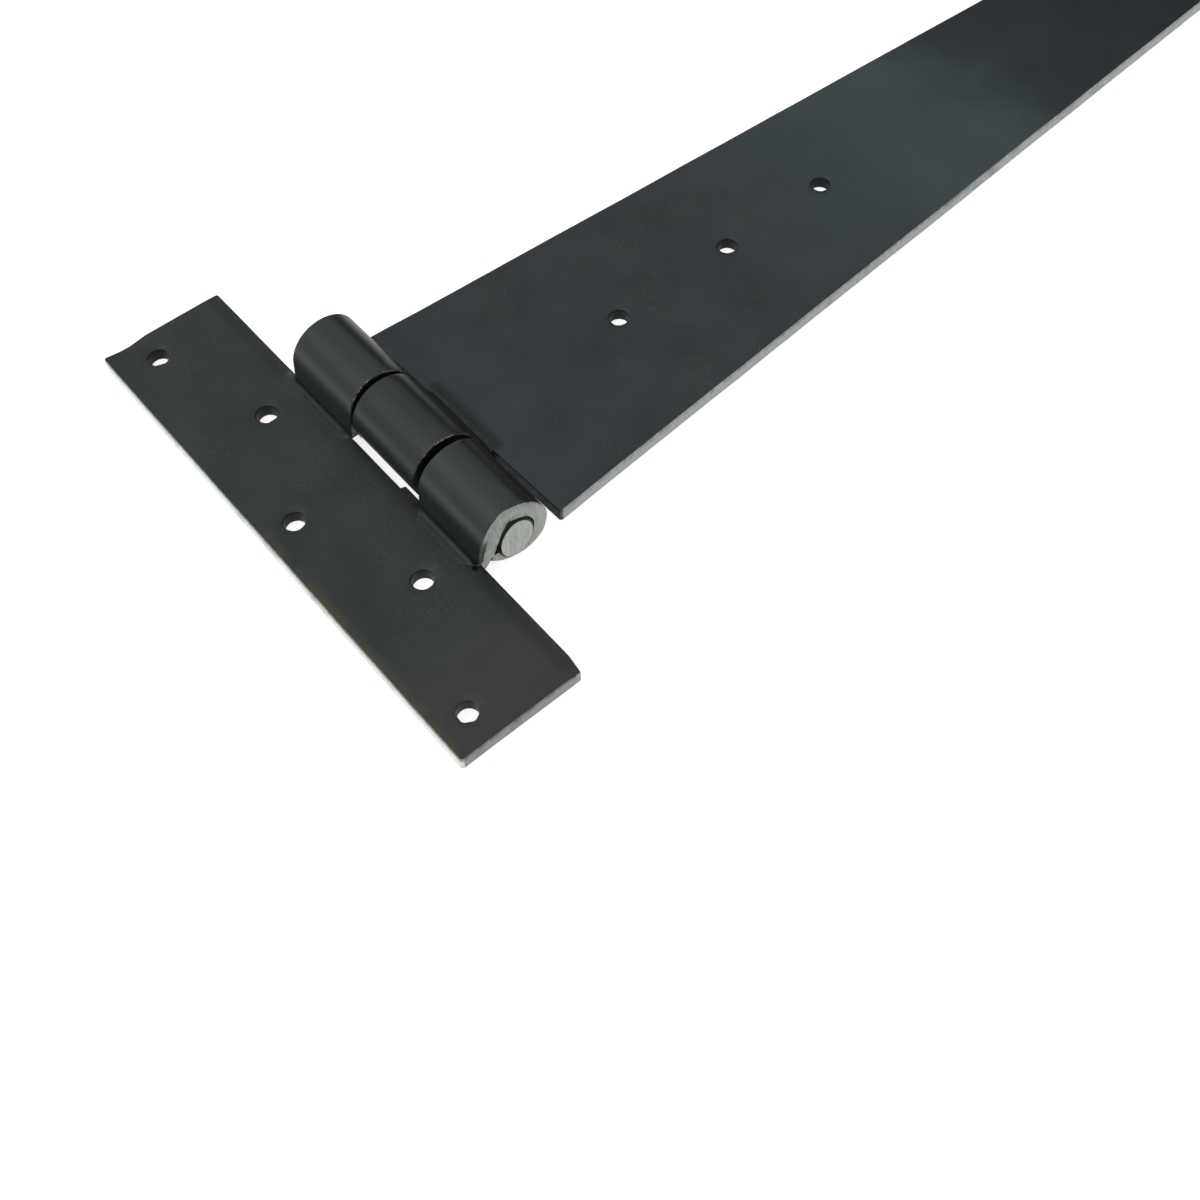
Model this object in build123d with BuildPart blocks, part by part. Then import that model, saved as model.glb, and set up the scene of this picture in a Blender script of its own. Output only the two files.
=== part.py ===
from build123d import *
from math import asin, atan2, cos, degrees, hypot, radians, sin, sqrt, tan
import os

# Tee hinge in blackened mild steel plate: a short cross leaf, a long tapered strap and the pin
# between them. The leaves' tabs are rolled up and over the pin to make the barrel.
# Frame: origin at the middle of the cross leaf's back face, +X along the strap, +Y along the
# pin, +Z out of the front face. Both back faces lie on Z = 0. Millimetres throughout.

# Plate and pin
plate_thickness = 4.0
pin_diameter = 11.1
pin_clearance = 0.1
pin_proud = 1.2
pin_end_chamfer = 0.6

# Cross leaf
leaf_length = 152.0
leaf_width = 34.8
far_end_skew = 0.6
leaf_corner_radius = 0.8
leaf_hole_diameter = 5.4
end_hole_from_leaf_end = 9.0
outer_row_from_edge = 8.7
inner_hole_from_leaf_end = 43.3
inner_row_from_edge = 12.8
far_hole_drift = 2.6
middle_hole_drift = 0.9

# Strap
strap_reach = 414.0
strap_offset = -1.6
strap_root_width = 75.3
strap_tip_width = 24.3
strap_tip_radius = 11.0
strap_root_corner_radius = 0.8
strap_hole_diameter = 5.2
root_holes_from_pin = 65.4
tip_hole_from_tip = 17.0
strap_hole_pitch = 36.75
strap_hole_count = 3
second_hole_drift = 1.75
strap_hole_line_offset = 0.1

# Barrel
pin_from_leaf_edge = 9.0
barrel_offset = -1.8
far_knuckle_length = 24.8
strap_knuckle_length = 24.9
near_knuckle_length = 24.25
far_knuckle_gap = 0.9
near_knuckle_gap = 1.85
near_end_slant = 8.5
strap_shoulder_from_pin = 14.5
strap_shoulder_skew = 2.4

# How the tabs are rolled
crease_radius = 2.8
bend_underside_radius = 6.0
tab_root_depth = 4.5
far_crease_inset = 1.6
near_crease_inset = 1.5
strap_crease_from_pin = 13.7
curl_seam = 0.2
curl_end_angle = 222.0

# Notch between the leaf's two tabs
notch_depth = 1.2
notch_side_clearance = 0.5
notch_overrun = 3.0
notch_overrun_width = 2.4
notch_lip_length = 6.5
notch_lip_reach = 1.6
notch_lip_height = 3.6
notch_lip_drop = 0.8

# Softened edges
sheared_edge_radius = 0.5
knuckle_edge_chamfer = 0.3
dressed_end_chamfer = 0.8
hole_edge_chamfer = 0.4

# Worked out from the sizes above
bore_radius = pin_diameter / 2 + pin_clearance
barrel_radius = bore_radius + plate_thickness
leaf_edge_x = leaf_width / 2
pin_x = leaf_edge_x + pin_from_leaf_edge
shoulder_x = pin_x + strap_shoulder_from_pin
tip_x = pin_x + strap_reach
barrel_length = far_knuckle_length + strap_knuckle_length + near_knuckle_length
barrel_length += far_knuckle_gap + near_knuckle_gap
barrel_far_y = barrel_offset + barrel_length / 2
barrel_near_y = barrel_far_y - barrel_length
middle_far_y = barrel_far_y - far_knuckle_length - far_knuckle_gap
middle_near_y = middle_far_y - strap_knuckle_length
notch_far_y = middle_far_y + far_knuckle_gap
notch_near_y = middle_near_y - notch_side_clearance
end_hole_y = leaf_length / 2 - end_hole_from_leaf_end
inner_hole_y = leaf_length / 2 - inner_hole_from_leaf_end
end_slope = tan(radians(near_end_slant))
strap_hole_line_y = strap_offset + strap_hole_line_offset
outer_row_x = outer_row_from_edge - leaf_edge_x
inner_row_x = leaf_edge_x - inner_row_from_edge


def roll_section(reach):
    """Section of a plate whose end is rolled into a knuckle.

    Local x runs across the barrel with the pin's axis at x = 0, and local y is height above the
    back face. The plate comes in from -x with its top face turning up at the crease, which is
    `reach` from the axis. The wall leans until it meets the barrel circle, goes over the pin, and
    the cut end comes back underneath and beds on the inside of the wall.
    """
    centre = Vector(0, barrel_radius)
    crease = Vector(-reach, plate_thickness)
    rise = barrel_radius - plate_thickness
    lean = atan2(rise, reach) + asin(barrel_radius / hypot(rise, reach))
    up_wall = Vector(cos(lean), sin(lean))
    outward = Vector(-sin(lean), cos(lean))
    outward_angle = 90 + degrees(lean)

    outer_tangent = centre + outward * barrel_radius
    inner_tangent = centre + outward * bore_radius

    # The underside of the bend is an arc from the back face to the wall's inner face
    under = bend_underside_radius
    slide = (under - inner_tangent.Y - under * outward.Y) / up_wall.Y
    under_centre = inner_tangent + outward * under + up_wall * slide
    wall_foot = under_centre - outward * under
    back_foot = Vector(under_centre.X, 0)

    # The cut end: its tip follows the wall's inner face, one seam away
    seam_offset = bore_radius - curl_seam
    half_chord = sqrt(barrel_radius**2 - seam_offset**2)
    tip = centre + outward * seam_offset - up_wall * half_chord
    seam_turn = under_centre - outward * (under + curl_seam)
    tip_on_arc = (tip - seam_turn).dot(up_wall) < 0
    if tip_on_arc:
        spread = under_centre - centre
        gap = spread.length
        along = (barrel_radius**2 - (under + curl_seam) ** 2 + gap**2) / (2 * gap)
        across = sqrt(barrel_radius**2 - along**2)
        toward = spread.normalized()
        tip = centre + toward * along + Vector(-toward.Y, toward.X) * across
    tip_angle = degrees(atan2(tip.Y - centre.Y, tip.X - centre.X)) % 360
    end_angle = radians(curl_end_angle)
    end_at_bore = centre + Vector(cos(end_angle), sin(end_angle)) * bore_radius
    end_at_seam = end_at_bore + outward * (seam_offset - (end_at_bore - centre).dot(outward))

    stub = -reach - tab_root_depth
    with BuildSketch() as section:
        with BuildLine():
            Line((stub, plate_thickness), crease)
            Line(crease, outer_tangent)
            CenterArc(centre, barrel_radius, tip_angle, 360 + outward_angle - tip_angle)
            if tip_on_arc:
                start = degrees(atan2(tip.Y - under_centre.Y, tip.X - under_centre.X))
                CenterArc(under_centre, under + curl_seam, start, outward_angle - 180 - start)
                Line(seam_turn, end_at_seam)
            else:
                Line(tip, end_at_seam)
            Line(end_at_seam, end_at_bore)
            CenterArc(centre, bore_radius, curl_end_angle, 360 + outward_angle - curl_end_angle)
            Line(inner_tangent, wall_foot)
            CenterArc(under_centre, under, 270, outward_angle - 90)
            Line(back_foot, (stub, 0))
            Line((stub, 0), (stub, plate_thickness))
        make_face()
    return section.sketch


def leaf_roll_plane(far_y):
    """Plane for a knuckle of the cross leaf: it starts at far_y and grows towards -Y."""
    return Plane(origin=(pin_x, far_y, 0), x_dir=(1, 0, 0), z_dir=(0, -1, 0))


def strap_roll_plane(near_y):
    """Plane for the strap's knuckle: mirrored, it starts at near_y and grows towards +Y."""
    return Plane(origin=(pin_x, near_y, 0), x_dir=(-1, 0, 0), z_dir=(0, 1, 0))


def near_end_plane(near_y, slope):
    """Plane that a leaf knuckle's near end is cut to. Its slope is 0 when the cut is square."""
    return Plane(origin=(pin_x, near_y, 0), z_dir=(slope, 1, 0))


def rectangle_between(x_low, x_high, y_low, y_high):
    """Adds a rectangle with the given sides to the sketch in hand."""
    with Locations(((x_low + x_high) / 2, (y_low + y_high) / 2)):
        Rectangle(x_high - x_low, y_high - y_low)


def circles_of(piece, radius):
    """The round edges of a piece that have the given radius."""
    circles = piece.edges().filter_by(GeomType.CIRCLE)
    return circles.filter_by(lambda edge: abs(edge.radius - radius) < 0.01)


os.makedirs("parts", exist_ok=True)

# Cross leaf: the flat plate with its softened top edge
leaf_tabs = [
    (barrel_far_y, far_knuckle_length, far_crease_inset, 0.0),
    (middle_near_y - near_knuckle_gap, near_knuckle_length, near_crease_inset, end_slope),
]
with BuildPart() as cross_leaf:
    with BuildSketch() as leaf_outline:
        with BuildLine():
            Polyline(
                (-leaf_edge_x, -leaf_length / 2),
                (leaf_edge_x, -leaf_length / 2),
                (leaf_edge_x, leaf_length / 2 - far_end_skew / 2),
                (-leaf_edge_x, leaf_length / 2 + far_end_skew / 2),
                close=True,
            )
        make_face()
        fillet(leaf_outline.vertices(), radius=leaf_corner_radius)
    extrude(amount=plate_thickness)
    fillet(cross_leaf.faces().sort_by(Axis.Z)[-1].edges(), radius=sheared_edge_radius)

    # The notch that clears the strap's knuckle, and the roots of the two tabs, come off the edge
    with BuildSketch():
        rectangle_between(leaf_edge_x - notch_depth, pin_x, notch_near_y, notch_far_y)
        for tab_far_y, length, inset, slope in leaf_tabs:
            root_x = leaf_edge_x - inset - tab_root_depth
            tab_near_y = tab_far_y - length
            with BuildLine():
                Polyline(
                    (root_x, tab_far_y),
                    (pin_x, tab_far_y),
                    (pin_x, tab_near_y),
                    (root_x, tab_near_y + (pin_x - root_x) * slope),
                    close=True,
                )
            make_face()
    extrude(amount=plate_thickness, mode=Mode.SUBTRACT)

    # The tabs, rolled up and over the pin and cut to length. The near one is cut out of square
    for tab_far_y, length, inset, slope in leaf_tabs:
        with BuildSketch(leaf_roll_plane(tab_far_y)):
            add(roll_section(pin_from_leaf_edge + inset))
        blank = extrude(amount=1.5 * length, mode=Mode.PRIVATE)
        split(blank, bisect_by=near_end_plane(tab_far_y - length, slope), mode=Mode.ADD)

    # The saw that cut the notch ran on into the far tab's root
    with BuildSketch():
        notch_bottom_x = leaf_edge_x - notch_depth
        rectangle_between(
            notch_bottom_x, notch_bottom_x + notch_overrun_width, notch_far_y, notch_far_y + notch_overrun
        )
    extrude(amount=plate_thickness, mode=Mode.SUBTRACT)

    # A torn lip stands in the near end of the notch
    with BuildSketch(Plane.XZ.offset(-notch_near_y)):
        with BuildLine():
            Polyline(
                (leaf_edge_x - notch_depth, 0),
                (leaf_edge_x - notch_depth + notch_lip_reach, 0),
                (leaf_edge_x - notch_depth + notch_lip_reach, notch_lip_height - notch_lip_drop),
                (leaf_edge_x - notch_depth, notch_lip_height),
                close=True,
            )
        make_face()
    extrude(amount=-notch_lip_length)

    # Screw holes in two staggered rows, with the far one and the middle one punched off their marks
    outer_row = [
        (outer_row_x + far_hole_drift, end_hole_y, plate_thickness),
        (outer_row_x, middle_hole_drift, plate_thickness),
        (outer_row_x, -end_hole_y, plate_thickness),
    ]
    inner_row = [(inner_row_x, side * inner_hole_y, plate_thickness) for side in (-1, 1)]
    with Locations(*outer_row, *inner_row):
        Hole(radius=leaf_hole_diameter / 2)
    hole_rims = circles_of(cross_leaf, leaf_hole_diameter / 2).group_by(Axis.Z)[-1]
    chamfer(hole_rims, length=hole_edge_chamfer)

    # The knuckles' rims are broken first, the slanting one more heavily, then the creases where
    # the tabs turn up are eased
    chamfer(circles_of(cross_leaf, barrel_radius), length=knuckle_edge_chamfer)
    slanting_rims = cross_leaf.edges().filter_by(GeomType.ELLIPSE)
    chamfer(slanting_rims.sort_by(SortBy.LENGTH)[-1], length=dressed_end_chamfer)
    for tab_far_y, length, inset, slope in leaf_tabs:
        crease_middle = (leaf_edge_x - inset, tab_far_y - length / 2, plate_thickness)
        fillet(cross_leaf.edges().sort_by_distance(crease_middle)[0], radius=crease_radius)

# Strap: a tapered plate cut a little out of square at its root, with a rounded tip and one
# rolled tab
with BuildPart() as strap_leaf:
    with BuildSketch(Plane(origin=(0, strap_offset, 0))) as strap_outline:
        with BuildLine():
            Polyline(
                (shoulder_x, -strap_root_width / 2),
                (tip_x, -strap_tip_width / 2),
                (tip_x, strap_tip_width / 2),
                (shoulder_x - strap_shoulder_skew, strap_root_width / 2),
                close=True,
            )
        make_face()
        fillet(strap_outline.vertices().sort_by(Axis.X)[:2], radius=strap_root_corner_radius)
        fillet(strap_outline.vertices().group_by(Axis.X)[-1], radius=strap_tip_radius)
    extrude(amount=plate_thickness)
    fillet(strap_leaf.faces().sort_by(Axis.Z)[-1].edges(), radius=sheared_edge_radius)

    with BuildSketch():
        root_x = pin_x + strap_crease_from_pin + tab_root_depth
        rectangle_between(pin_x, root_x, middle_near_y, middle_far_y)
    extrude(amount=plate_thickness, mode=Mode.SUBTRACT)
    with BuildSketch(strap_roll_plane(middle_near_y)):
        add(roll_section(strap_crease_from_pin))
    extrude(amount=strap_knuckle_length)

    # Screw holes along the strap, one group near the root and one near the tip
    root_group = [pin_x + root_holes_from_pin + step * strap_hole_pitch for step in range(strap_hole_count)]
    root_group[1] += second_hole_drift
    tip_group = [tip_x - tip_hole_from_tip - step * strap_hole_pitch for step in range(strap_hole_count)]
    with Locations(*[(x, strap_hole_line_y, plate_thickness) for x in root_group + tip_group]):
        Hole(radius=strap_hole_diameter / 2)
    hole_rims = circles_of(strap_leaf, strap_hole_diameter / 2).group_by(Axis.Z)[-1]
    chamfer(hole_rims, length=hole_edge_chamfer)

    chamfer(circles_of(strap_leaf, barrel_radius), length=knuckle_edge_chamfer)
    crease_middle = (pin_x + strap_crease_from_pin, (middle_near_y + middle_far_y) / 2, plate_thickness)
    fillet(strap_leaf.edges().sort_by_distance(crease_middle)[0], radius=crease_radius)

# Pin: a plain rod a little longer than the barrel, with its ends broken
with BuildPart() as hinge_pin:
    with BuildSketch(Plane(origin=(pin_x, barrel_far_y + pin_proud, barrel_radius), z_dir=(0, -1, 0))):
        Circle(pin_diameter / 2)
    extrude(amount=barrel_length + 2 * pin_proud)
    chamfer(hinge_pin.edges().filter_by(GeomType.CIRCLE), length=pin_end_chamfer)

for name, piece in (("cross_leaf", cross_leaf), ("strap_leaf", strap_leaf), ("hinge_pin", hinge_pin)):
    piece.part.label = name
    export_step(piece.part, f"parts/{name}.step")
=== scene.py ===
import math

import bmesh
import bpy
from mathutils import Matrix, Vector, geometry, noise


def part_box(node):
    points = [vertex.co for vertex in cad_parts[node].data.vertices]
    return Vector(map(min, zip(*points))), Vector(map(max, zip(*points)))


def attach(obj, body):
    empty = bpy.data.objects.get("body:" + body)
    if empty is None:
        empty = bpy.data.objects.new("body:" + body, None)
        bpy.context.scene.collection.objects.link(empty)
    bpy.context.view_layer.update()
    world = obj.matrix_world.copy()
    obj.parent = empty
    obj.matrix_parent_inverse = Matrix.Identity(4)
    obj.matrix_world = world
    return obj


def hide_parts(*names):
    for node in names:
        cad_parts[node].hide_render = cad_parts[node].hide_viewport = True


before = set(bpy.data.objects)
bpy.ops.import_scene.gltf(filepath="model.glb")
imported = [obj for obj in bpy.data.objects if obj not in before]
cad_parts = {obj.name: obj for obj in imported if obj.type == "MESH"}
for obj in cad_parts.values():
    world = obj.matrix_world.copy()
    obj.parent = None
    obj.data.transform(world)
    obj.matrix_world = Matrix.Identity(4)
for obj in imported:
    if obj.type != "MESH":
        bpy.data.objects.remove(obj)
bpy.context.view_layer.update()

bl_info = {
    "name": "Tee hinge",
    "version": (1, 0, 0),
    "blender": (4, 5, 0),
    "location": "View3D > Sidebar > Tee hinge",
    "description": "Dresses a blackened steel tee hinge and lights it on a pale floor",
    "category": "Object",
}


def mm(value):
    """Millimetres as metres."""
    return value * 0.001


def linear(hex_colour):
    """An sRGB hex colour as linear red, green and blue."""
    channels = [int(hex_colour[i:i + 2], 16) / 255 for i in (1, 3, 5)]
    return tuple(c / 12.92 if c <= 0.04045 else ((c + 0.055) / 1.055) ** 2.4 for c in channels)


# Places on the hinge, read from the CAD frame or given in its millimetres
LEAF_LOW, LEAF_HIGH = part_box("cross_leaf")
PIN_LOW, PIN_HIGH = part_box("hinge_pin")
PIN_X = (PIN_LOW.x + PIN_HIGH.x) / 2
PIN_Z = (PIN_LOW.z + PIN_HIGH.z) / 2
PIN_RADIUS = (PIN_HIGH.x - PIN_LOW.x) / 2
PIN_CHAMFER = mm(0.6)
PLATE = mm(4.0)
LEAF_EDGE = -LEAF_LOW.x
LEAF_HALF = LEAF_HIGH.y
LEAF_HOLES = [(mm(x), mm(y)) for x, y in (
    (-6.1, 67.0), (4.6, 32.7), (-8.7, 0.9), (4.6, -32.7), (-8.7, -67.0))]
LEAF_HOLE_RADIUS = mm(2.7)
LEAF_CREASE = mm(15.2)
LEAF_CREASE_ENDS = (mm(11.75), mm(-39.0))
LEAF_EDGE_SHOWS = (mm(-39.2), mm(36.6))
TORN_LIP_X = (mm(15.9), mm(18.2))
TORN_LIP_Y = (mm(-14.7), mm(-7.9))
BARREL_RADIUS = LEAF_HIGH.x - PIN_X
BARREL_NEAR = mm(-42)
BARREL_FAR = mm(38)
NEAR_END_FROM = mm(-33)
STRAP_ROOT = mm(41.0)
STRAP_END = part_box("strap_leaf")[1].x
STRAP_MIDDLE = mm(-1.6)
STRAP_ROOT_HALF = mm(37.65)
STRAP_TIP_HALF = mm(12.15)
STRAP_HOLES = [(mm(x), mm(-1.5)) for x in (91.8, 130.3, 165.3, 349.9, 386.65, 423.4)]
STRAP_HOLE_RADIUS = mm(2.6)
STRAP_CREASE = mm(40.4)
STRAP_KNUCKLE_ENDS = (mm(10.85), mm(-14.05))

# Fineness of the meshes. Flat faces are filled in millimetres, which suits the filling's tolerance
IN_MM = 1000
FILL_TOLERANCE = 1e-5
FILL_INSIDE_ONLY = 1
SAME_POINT = mm(0.0001)
CUT_SNAP = mm(0.0005)
SAME_LEVEL = mm(0.001)
WELD = mm(0.002)
HOLE_RIM = mm(0.4)
HOLE_SIDES = 36
RING_POINTS = 28
RINGS_OUT = (0.35, 0.8, 1.4, 2.2)

# How far the near knuckle's cut end is moved along the pin, in millimetres and outwards where negative, at
# angles round the pin in degrees
END_OFFSETS = ((-20, 0.1), (40, 0.0), (84, -0.3), (100, -0.2), (120, -1.0), (152, -2.0), (185, -1.6),
               (212, -1.2), (248, -0.3), (300, -0.1), (340, 0.1))


class HingeSizes(bpy.types.PropertyGroup):
    """Sizes of the wear and of the meshes."""

    point_spacing: bpy.props.FloatProperty(
        name="Point spacing", description="Distance between mesh points on the plates",
        default=mm(2.5), min=mm(1.5), unit="LENGTH")
    barrel_step: bpy.props.FloatProperty(
        name="Barrel step", description="Angle between mesh points round the barrel",
        default=math.radians(4.0), min=math.radians(3.0), unit="ROTATION")
    edge_wave: bpy.props.FloatProperty(
        name="Edge wave", description="How far the sheared edges wander inwards",
        default=mm(0.35), min=0.0, unit="LENGTH")
    hole_dish: bpy.props.FloatProperty(
        name="Hole dish", description="How far the plate is drawn in round each punched hole",
        default=mm(0.3), min=0.0, unit="LENGTH")
    hole_rag: bpy.props.FloatProperty(
        name="Hole raggedness", description="How far the rim of a punched hole strays from a circle",
        default=mm(0.05), min=0.0, unit="LENGTH")
    rolled_margin: bpy.props.FloatProperty(
        name="Rolled margin", description="How far the leaf's margin is rolled down at its edge",
        default=mm(0.18), min=0.0, unit="LENGTH")
    hammering: bpy.props.FloatProperty(
        name="Hammering", description="Depth of the shallow flats left by rolling the knuckles",
        default=mm(0.16), min=0.0, unit="LENGTH")


class HingeColours(bpy.types.PropertyGroup):
    """Colours of the steel in its several states."""

    leaf: bpy.props.FloatVectorProperty(
        name="Leaf face", description="Blackened face of the cross leaf",
        subtype="COLOR", default=linear("#313637"))
    leaf_near: bpy.props.FloatVectorProperty(
        name="Leaf face, near end", description="Browner blackening towards the cross leaf's near end",
        subtype="COLOR", default=linear("#3B3B39"))
    # Painted highlight: the knuckles' tops and feet are drawn in this paler colour
    knuckle: bpy.props.FloatVectorProperty(
        name="Knuckles", description="Top of the rolled knuckles, paler and less blue than the flat plate",
        subtype="COLOR", default=linear("#373C3B"))
    strap: bpy.props.FloatVectorProperty(
        name="Strap face", description="Blackened face of the strap near its root",
        subtype="COLOR", default=linear("#33383A"))
    # Painted sheen and shade on the strap: its middle is drawn paler and its far part and tip darker, each
    # also bluer in tint
    strap_middle_tint_and_sheen: bpy.props.FloatVectorProperty(
        name="Strap face, middle", description="Paler, bluer blackening in the middle of the strap",
        subtype="COLOR", default=linear("#3C484A"))
    strap_far_tint_and_shade: bpy.props.FloatVectorProperty(
        name="Strap face, far part", description="Darker blue blackening beyond the middle",
        subtype="COLOR", default=linear("#272F31"))
    strap_tip_tint_and_shade: bpy.props.FloatVectorProperty(
        name="Strap face, tip", description="Darkest blackening towards the strap's tip",
        subtype="COLOR", default=linear("#1C2325"))
    sheared: bpy.props.FloatVectorProperty(
        name="Sheared edge", description="Sheared sides of the plates, thinly blackened",
        subtype="COLOR", default=linear("#8B8F8B"))
    dressed: bpy.props.FloatVectorProperty(
        name="Dressed end", description="Filed knuckle end and cropped pin",
        subtype="COLOR", default=linear("#9DA19A"))
    burr: bpy.props.FloatVectorProperty(
        name="Bared burr", description="Specks on the knuckles' rims that have lost their blackening",
        subtype="COLOR", default=linear("#857F72"))
    soil: bpy.props.FloatVectorProperty(
        name="Brown wax", description="Old wax rubbed along the leaf's edge and in specks on its face",
        subtype="COLOR", default=linear("#4D4A38"))
    rust: bpy.props.FloatVectorProperty(
        name="Rust", description="Rust on the torn lip in the notch and round two holes",
        subtype="COLOR", default=linear("#5E4630"))


# Meshes

def cad_mesh(node):
    """The mesh of a CAD node, as a copy with its points joined up."""
    mesh = bmesh.new()
    mesh.from_mesh(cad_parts[node].data)
    bmesh.ops.remove_doubles(mesh, verts=mesh.verts, dist=SAME_POINT)
    return mesh


def between(low, high, spacing):
    """Evenly spaced values strictly between low and high, about one spacing apart."""
    count = max(1, round((high - low) / spacing))
    return [low + (high - low) * step / count for step in range(1, count)]


def slice_mesh(mesh, places, direction):
    """Cuts every face of the mesh along planes that cross the given places."""
    for place in places:
        whole = mesh.verts[:] + mesh.edges[:] + mesh.faces[:]
        bmesh.ops.bisect_plane(mesh, geom=whole, dist=CUT_SNAP, plane_co=place, plane_no=direction)


def slice_round_pin(mesh, step):
    """Cuts the rolled parts along planes through the pin's axis, so that they are smoothly round."""
    count = round(math.pi / step)
    for index in range(count):
        angle = math.pi * index / count
        # Faces that look along the pin stay whole
        rolled = [face for face in mesh.faces if abs(face.normal.y) < 0.7
                  and abs(face.calc_center_median().x - PIN_X) < BARREL_RADIUS * 1.02]
        edges = dict.fromkeys(edge for face in rolled for edge in face.edges)
        points = dict.fromkeys(point for face in rolled for point in face.verts)
        bmesh.ops.bisect_plane(mesh, geom=[*points, *edges, *rolled], dist=CUT_SNAP,
                               plane_co=(PIN_X, 0, PIN_Z), plane_no=(-math.sin(angle), 0, math.cos(angle)))


def punch(mesh, x, y, radius):
    """Lays the wall and the soft front rim of one punched hole into the mesh."""
    outline = ((1.0, 0.0), (0.5, 0.15), (0.15, 0.5), (0.0, 1.1))
    profile = [(radius + HOLE_RIM * out, PLATE - HOLE_RIM * down) for out, down in outline]
    profile += [(radius, PLATE * 0.4), (radius, 0.0)]
    turns = [math.tau * side / HOLE_SIDES for side in range(HOLE_SIDES)]
    rings = [[mesh.verts.new((x + out * math.cos(turn), y + out * math.sin(turn), z)) for turn in turns]
             for out, z in profile]
    for upper, lower in zip(rings, rings[1:]):
        for i in range(HOLE_SIDES):
            j = (i + 1) % HOLE_SIDES
            mesh.faces.new((upper[i], upper[j], lower[j], lower[i]))


def at_level(part, level):
    """Whether a face or an edge lies at a height."""
    return all(abs(point.co.z - level) < SAME_LEVEL for point in part.verts)


def open_flat(mesh, level):
    """Takes out the flat faces at a level. Gives the edges round the opening, and whether it faced up."""
    old = [face for face in mesh.faces if abs(face.normal.z) > 0.999 and at_level(face, level)]
    upward = old[0].normal.z > 0
    bmesh.ops.delete(mesh, geom=old, context="FACES_KEEP_BOUNDARY")
    loose = [edge for edge in mesh.edges if not edge.link_faces]
    bmesh.ops.delete(mesh, geom=loose, context="EDGES")
    return [edge for edge in mesh.edges if len(edge.link_faces) == 1 and at_level(edge, level)], upward


def inner_points(rim, holes, first_ring, spacing):
    """Points inside a flat face, in millimetres: rings round each hole, and an even grid clear of them."""
    rings = [first_ring + mm(out) for out in RINGS_OUT]
    points = []
    for x, y in holes:
        for order, ring in enumerate(rings):
            for step in range(RING_POINTS):
                turn = math.tau * (step + 0.5 * (order % 2)) / RING_POINTS
                points.append(Vector((x + ring * math.cos(turn), y + ring * math.sin(turn))) * IN_MM)
    clear = (rings[-1] + mm(0.6)) * IN_MM
    across = [point.x for point in rim]
    along = [point.y for point in rim]
    for x in between(min(across), max(across), spacing * IN_MM):
        for y in between(min(along), max(along), spacing * IN_MM):
            if all(math.hypot(x - hole_x * IN_MM, y - hole_y * IN_MM) > clear for hole_x, hole_y in holes):
                points.append(Vector((x, y)))
    return points


def refill_flat(mesh, level, holes, hole_radius, spacing):
    """Fills the flat face at a level again with even triangles, ringed round the holes."""
    rim_edges, upward = open_flat(mesh, level)
    rim_points = list(dict.fromkeys(point for edge in rim_edges for point in edge.verts))
    number = {point: index for index, point in enumerate(rim_points)}
    lines = [(number[edge.verts[0]], number[edge.verts[1]]) for edge in rim_edges]
    rim = [Vector((point.co.x, point.co.y)) * IN_MM for point in rim_points]
    flat = rim + inner_points(rim, holes, hole_radius + (HOLE_RIM if level > 0 else 0), spacing)
    filled = geometry.delaunay_2d_cdt(flat, lines, [], FILL_INSIDE_ONLY, FILL_TOLERANCE)
    points, _, faces, sources, _, _ = filled
    made = {}

    def point_at(index):
        if index not in made:
            old = [source for source in sources[index] if source < len(rim_points)]
            if old:
                made[index] = rim_points[old[0]]
            else:
                made[index] = mesh.verts.new((points[index].x / IN_MM, points[index].y / IN_MM, level))
        return made[index]

    for face in faces:
        middle = sum((points[index] for index in face), Vector((0, 0))) / len(face)
        away = [math.hypot(middle.x - x * IN_MM, middle.y - y * IN_MM) for x, y in holes]
        if all(distance >= hole_radius * IN_MM for distance in away):
            corners = [point_at(index) for index in face]
            mesh.faces.new(corners if upward else corners[::-1])


def remade(node, holes, hole_radius, sizes):
    """A finer copy of a CAD plate's mesh, with even points, for the wear to work on."""
    mesh = cad_mesh(node)
    reach = hole_radius + HOLE_RIM + mm(0.05)
    old_walls = [face for face in mesh.faces if any(
        all(math.hypot(point.co.x - x, point.co.y - y) < reach for point in face.verts) for x, y in holes)]
    bmesh.ops.delete(mesh, geom=old_walls, context="FACES")
    low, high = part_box(node)
    spacing = sizes.point_spacing
    slice_mesh(mesh, [(x, 0, 0) for x in between(low.x, high.x, spacing)], (1, 0, 0))
    slice_mesh(mesh, [(0, y, 0) for y in between(low.y, high.y, spacing)], (0, 1, 0))
    slice_round_pin(mesh, sizes.barrel_step)
    for x, y in holes:
        punch(mesh, x, y, hole_radius)
    for level in (PLATE, 0.0):
        refill_flat(mesh, level, holes, hole_radius, spacing)
    bmesh.ops.remove_doubles(mesh, verts=mesh.verts, dist=WELD)
    bmesh.ops.dissolve_degenerate(mesh, edges=mesh.edges, dist=mm(0.001))
    return mesh


# Wear. Each function moves a point by where it stood at rest

def wander(place, scale, seed):
    """Slow noise from 0 to 1 at a place, with features about one scale long."""
    return 0.5 + 0.5 * noise.noise(Vector(place) / scale + Vector((seed, seed * 1.7, seed * 0.6)))


def fade(distance, reach):
    """1 at no distance, easing to 0 at the reach."""
    t = min(max(distance / reach, 0.0), 1.0)
    return 1 - t * t * (3 - 2 * t)


def from_pin(place):
    """The way out to a place from the pin's axis."""
    return Vector((place.x - PIN_X, 0, place.z - PIN_Z))


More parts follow.
